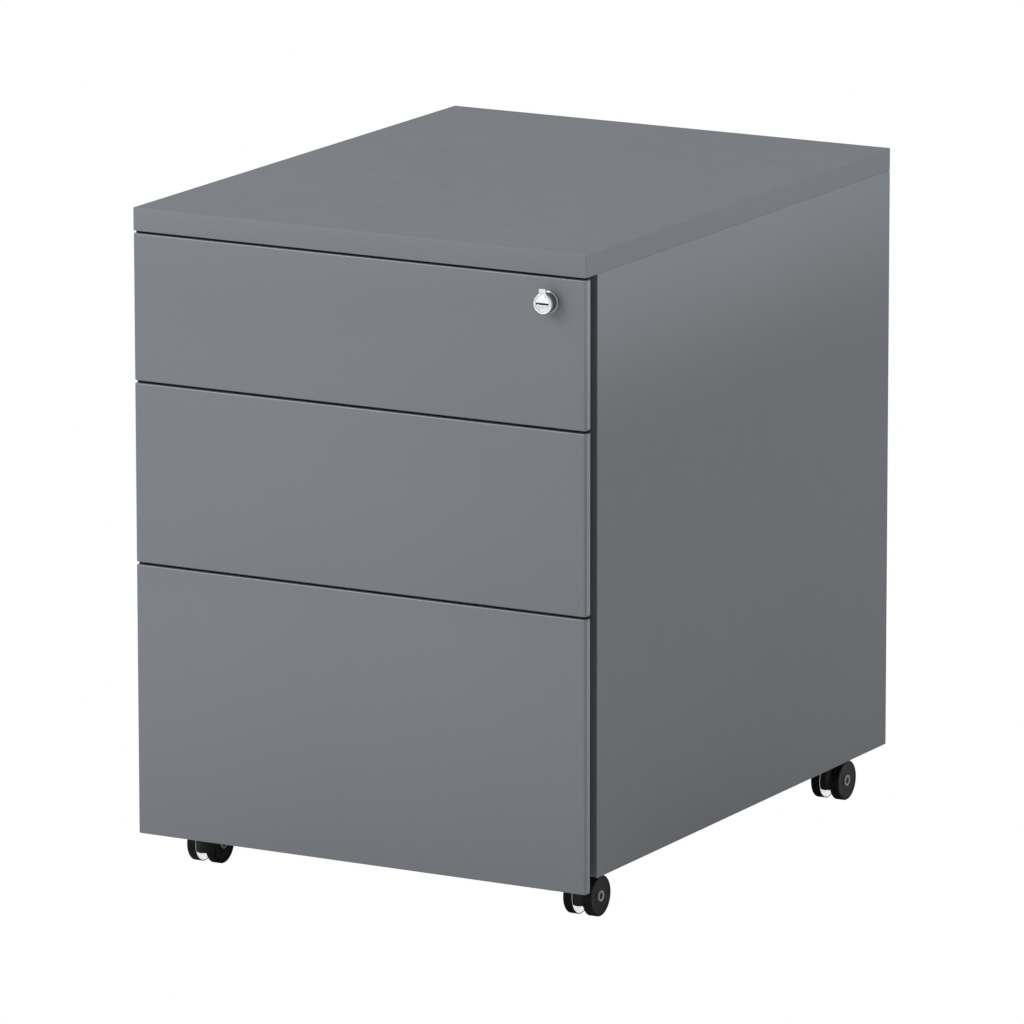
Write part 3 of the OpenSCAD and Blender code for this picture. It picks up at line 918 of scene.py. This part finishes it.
def make_lock_nut():
    """Hexagon nut that holds the barrel behind the front."""
    axis = lock_axis()
    low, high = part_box("lock_nut")
    bm = bmesh.new()
    prism(bm, polygon(6, (high.x - low.x) / 2, (axis.x, axis.z)), "Y", low.y, high.y)
    hole = bmesh.new()
    rod(hole, 9.05 * MM, low.y - MM, high.y + MM, (axis.x, 0, axis.z), "Y", 64)
    bm = combined(bm, hole)
    piece("lock_nut", bm, BRIGHT, "upper_drawer", ["lock_nut"], edge=0.3 * MM)


def make_lock():
    make_lock_face()
    make_lock_barrel()
    make_lock_plug()
    make_lock_nut()


# ---- casters ----

def make_stem(x, y):
    """Stem of a caster: pin, washer and threaded stud."""
    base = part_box("base_panel")[0].z
    pin_r, pin_h, chamfer = 3.15 * MM, 18 * MM, 0.6 * MM
    washer_r, washer_t, ease = 11 * MM, 2 * MM, 0.4 * MM
    stud_r, root_r, pitch, turns = 4 * MM, 3.5 * MM, 1.25 * MM, 8
    profile = [(0, base - pin_h), (pin_r - chamfer, base - pin_h), (pin_r, base - pin_h + chamfer),
               (pin_r, base - washer_t - 1.2 * MM), (pin_r + MM, base - washer_t)]
    profile += arc((washer_r - ease, base - washer_t + ease), ease, -90, 0, 3)
    profile += arc((washer_r - ease, base - ease - 0.02 * MM), ease, 0, 90, 3)
    profile.append((root_r, base - 0.02 * MM))
    for k in range(turns):
        z = base + 0.6 * MM + k * pitch
        profile += [(root_r, z), (stud_r, z + pitch / 2)]
    profile += [(stud_r - 0.8 * MM, base + 10.9 * MM), (0, base + 11 * MM)]
    bm = bmesh.new()
    lathe(bm, profile, (x, y, 0), "Z", 48)
    return bm


def make_stems():
    """The stems of all casters in one piece."""
    whole = bmesh.new()
    for _, x, y in stems():
        one = make_stem(x, y)
        mesh = bpy.data.meshes.new("stem")
        one.to_mesh(mesh)
        one.free()
        whole.from_mesh(mesh)
        bpy.data.meshes.remove(mesh)
    piece("caster_stems", whole, BRIGHT, "root", ["caster_stems"])


def make_hood(name, x, y):
    """Hood over the axle, between the wheels, with a neck that turns on the stem."""
    node = f"{name}_hood"
    low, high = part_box(node)
    _, axle_y, axle_z = joint_place(f"{name}_outer_roll")
    width = high.x - low.x
    # close to the wheels, so that it hides the upper half of their pale cores
    half = width / 2 + 0.25 * MM
    r = high.y - axle_y
    dip = math.degrees(math.asin((axle_z - low.z) / r))
    bm = bmesh.new()
    prism(bm, arc((axle_y, axle_z), r, -dip, 180 + dip, 40), "X", x - half, x + half)
    bm = rounded(bm, 0.4 * MM, 3)
    neck = bmesh.new()
    neck_r, ease, foot = width / 2 - CLEAR, 1.4 * MM, low.z + 0.1 * MM
    profile = [(0, foot)]
    profile += arc((neck_r - ease, foot + ease), ease, -90, 0, 5)
    profile += [(neck_r, high.z - 0.9 * MM), (neck_r - 0.3 * MM, high.z - 0.3 * MM),
                (neck_r - 0.9 * MM, high.z), (0, high.z)]
    lathe(neck, profile, (x, y, 0), "Z", 48)
    bm = combined(bm, neck, "UNION")
    bore = bmesh.new()
    rod(bore, 3.25 * MM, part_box("caster_stems")[0].z - MM, high.z + MM, (x, y, 0), "Z", 40)
    bm = combined(bm, bore)
    piece(node, bm, BLACK, f"{name}_caster", [node])


# Wheel: thickness of the tyre, height of its inner lip, and radii of the hub and its bore
TYRE_T = 1.6 * MM
LIP = 0.7 * MM
HUB_R = 4.6 * MM
HUB_BORE = 2.06 * MM

# Radii of the ring and the cap on the outer face
RING_R = 4.6 * MM
CAP_R = 2.9 * MM


# A wheel's profiles hold radius and depth, with the depth measured outwards from the face beside the hood

def tyre_profile(r, width):
    """Tyre with round shoulders and two fine grooves."""
    rim, side, shoulder = r - TYRE_T + CLEAR, 1.2 * MM, 0.9 * MM
    profile = [(rim, side), (r - LIP, side), (r - LIP, CLEAR)]
    profile += arc((r - 0.5 * MM, 0.5 * MM + CLEAR), 0.5 * MM, 270, 360, 4)
    for h in (0.42 * width, 0.58 * width):
        bottom = r - 0.22 * MM
        profile += [(r, h - 0.25 * MM), (bottom, h - 0.1 * MM), (bottom, h + 0.1 * MM), (r, h + 0.25 * MM)]
    profile += arc((r - shoulder, width - shoulder), shoulder, 0, 90, 6)
    profile += [(rim, width - 0.1 * MM)]
    return profile


def cover_profile(r, width):
    """Hub sleeve, and a dished disc with a fine step at its rim and a seat for the ring and cap."""
    rim, inside, face = r - TYRE_T, width - 2.8 * MM, width - 0.1 * MM
    dish, seat, seat_r = width - 0.6 * MM, width - 1.5 * MM, RING_R + 0.1 * MM
    return [
        (HUB_BORE, 0), (HUB_R, 0), (HUB_R, inside), (rim, inside),
        (rim, face - 0.25 * MM), (rim - 0.25 * MM, face), (rim - 1.1 * MM, face),
        (rim - 1.3 * MM, face - 0.2 * MM), (9 * MM, dish - 0.15 * MM), (5.3 * MM, dish), (seat_r, dish),
        (seat_r, seat), (0, seat), (0, seat - 0.4 * MM), (HUB_BORE, seat - 0.4 * MM),
    ]


def core_profile(r, width):
    """Web between a ring round the hub and a rim that carries the tyre."""
    rim, inside, hub = r - TYRE_T, width - 2.8 * MM - CLEAR, HUB_R + CLEAR
    web, proud, edge = 0.9 * MM, 0.3 * MM, r - LIP - CLEAR
    return [
        (hub, 0.5 * MM), (HUB_R + 0.9 * MM, proud), (HUB_R + 1.4 * MM, web),
        (rim - 1.8 * MM, web), (rim - 1.3 * MM, proud), (edge - 0.1 * MM, proud),
        (edge, proud + 0.15 * MM), (edge, 1.2 * MM - CLEAR), (rim, 1.2 * MM - CLEAR),
        (rim, inside), (hub, inside),
    ]


def ring_profile(width):
    """Ring with a round outer edge, which stands out a little from the wheel."""
    low, high, inner = width - 1.48 * MM, width + 0.2 * MM, CAP_R + 0.1 * MM
    profile = [(inner, low), (RING_R, low)]
    profile += arc((RING_R - 0.4 * MM, high), 0.4 * MM, 0, 90, 4)
    profile += [(inner + 0.5 * MM, high + 0.4 * MM), (inner, high)]
    return profile


def cap_profile(width):
    """Cap inside the ring, slightly domed."""
    low = width - 1.45 * MM
    return [(0, low), (CAP_R, low), (CAP_R, width - 0.3 * MM),
            (CAP_R - 0.4 * MM, width - 0.05 * MM), (0, width)]


def make_wheel(name, place):
    """Wheel in five turned pieces: cover, tyre, pale core, ring round the hub, and cap."""
    node = f"{name}_{place}_wheel"
    low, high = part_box(node)
    axle_x, axle_y, axle_z = joint_place(f"{name}_{place}_roll")
    s = 1 if (low.x + high.x) / 2 > axle_x else -1
    origin = (low.x if s > 0 else high.x, axle_y, axle_z)
    r, width = high.z - axle_z, high.x - low.x
    parts = (
        ("_tyre", TREAD, tyre_profile(r, width), ()),
        ("", BLACK, cover_profile(r, width), (node,)),
        ("_core", PALE_PAINTED_GLOW, core_profile(r, width), ()),
        ("_hub_ring", GREY, ring_profile(width), ()),
        ("_cap", BLACK, cap_profile(width), ()),
    )
    for ending, material, profile, replaced in parts:
        bm = bmesh.new()
        lathe(bm, [(radius, s * h) for radius, h in profile], origin, "X", 80)
        piece(f"{node}{ending}", bm, material, node, replaced)


def make_casters():
    make_stems()
    for name, x, y in stems():
        make_hood(name, x, y)
        for place in ("outer", "inner"):
            make_wheel(name, place)


# ---- pieces that keep their CAD shape ----

def dress(node, material, edge):
    """Material and soft edges for a CAD piece."""
    obj = frame["nodes"][node]
    obj.data.materials.clear()
    obj.data.materials.append(material)
    obj.data.shade_smooth()
    soften(obj, edge, 2)


def dress_cad():
    dress("lock_rod", ZINC, 0.25 * MM)
    dress("lock_bar", ZINC, 0.25 * MM)
    dress("bar_guides", BLACK, 0.5 * MM)
    for name, _, _ in stems():
        dress(f"{name}_axle", BRIGHT, 0.3 * MM)


# ---- studio ----

def floor_disc(name, material, height):
    bm = bmesh.new()
    bmesh.ops.create_circle(bm, cap_ends=True, segments=96, radius=FLOOR_R)
    bmesh.ops.translate(bm, verts=bm.verts, vec=(0, 0, height))
    obj = as_object(bm, name)
    obj.data.materials.append(material)
    return obj


def make_floor():
    """A white floor for the camera, and just under it one that throws light back at the object."""
    seen = floor_disc("studio_floor", white_floor(), -0.2 * MM)
    seen.visible_diffuse = False
    seen.visible_glossy = False
    seen.visible_transmission = False
    seen.visible_shadow = False
    bounce = floor_disc("bounce_floor", pale_floor(), -0.4 * MM)
    bounce.visible_camera = False


def make_world():
    """Soft white dome. The camera sees it as plain white."""
    world = bpy.data.worlds.new("studio")
    bpy.context.scene.world = world
    world.use_nodes = True
    tree = world.node_tree
    background = tree.nodes["Background"]
    background.inputs["Color"].default_value = colour(0.98, 0.99, 1.0)
    rays = tree.nodes.new("ShaderNodeLightPath")
    strength = tree.nodes.new("ShaderNodeMapRange")
    strength.inputs["To Min"].default_value = DOME
    strength.inputs["To Max"].default_value = 1.0
    tree.links.new(rays.outputs["Is Camera Ray"], strength.inputs["Value"])
    tree.links.new(strength.outputs["Result"], background.inputs["Strength"])


def area_light(name, place, aim, size, power):
    light = bpy.data.lights.new(name, "AREA")
    light.shape = "RECTANGLE"
    light.size, light.size_y = size
    light.energy = power
    obj = bpy.data.objects.new(name, light)
    obj.location = place
    obj.rotation_euler = (Vector(aim) - Vector(place)).to_track_quat("-Z", "Y").to_euler()
    bpy.context.scene.collection.objects.link(obj)
    return obj


def make_lights():
    area_light("key_softbox", place=(-1.17, -1.87, 1.65), aim=(0, 0, 0.3), size=(1.2, 1.2), power=34)
    # a narrow beam lightens the upper part of the right side, without a reflection of its own
    beam = area_light("side_softbox", place=(2.2, 0, 0.875), aim=(0, 0, 0.875), size=(1.2, 0.8), power=2.0)
    beam.data.spread = math.radians(6)
    beam.visible_glossy = False


def make_camera():
    """Camera that looks from the front right, slightly down."""
    data = bpy.data.cameras.new("camera")
    data.lens = LENS
    data.sensor_width = 36
    camera = bpy.data.objects.new("camera", data)
    a, e = math.radians(AZIMUTH), math.radians(ELEVATION)
    back = Vector((math.sin(a) * math.cos(e), -math.cos(a) * math.cos(e), math.sin(e)))
    camera.location = AIM + DISTANCE * back
    camera.rotation_mode = "QUATERNION"
    upright = (-back).to_track_quat("-Z", "Y")
    camera.rotation_quaternion = Quaternion(back, math.radians(ROLL)) @ upright
    data.clip_end = 100
    bpy.context.scene.collection.objects.link(camera)
    bpy.context.scene.camera = camera


make_camera()
make_top()
for side, s in SIDES.items():
    make_side_wall(side, s)
make_back()
make_base()
make_rails()
make_body_screws()
for level in LEVELS:
    make_front(level)
    make_gap_strip(level)
    make_liner(level)
    make_box(level)
    make_catch(level)
make_rod_ear()
make_slides()
make_lock()
make_casters()
dress_cad()
make_floor()
make_world()
make_lights()
bpy.context.scene.view_settings.view_transform = "Standard"
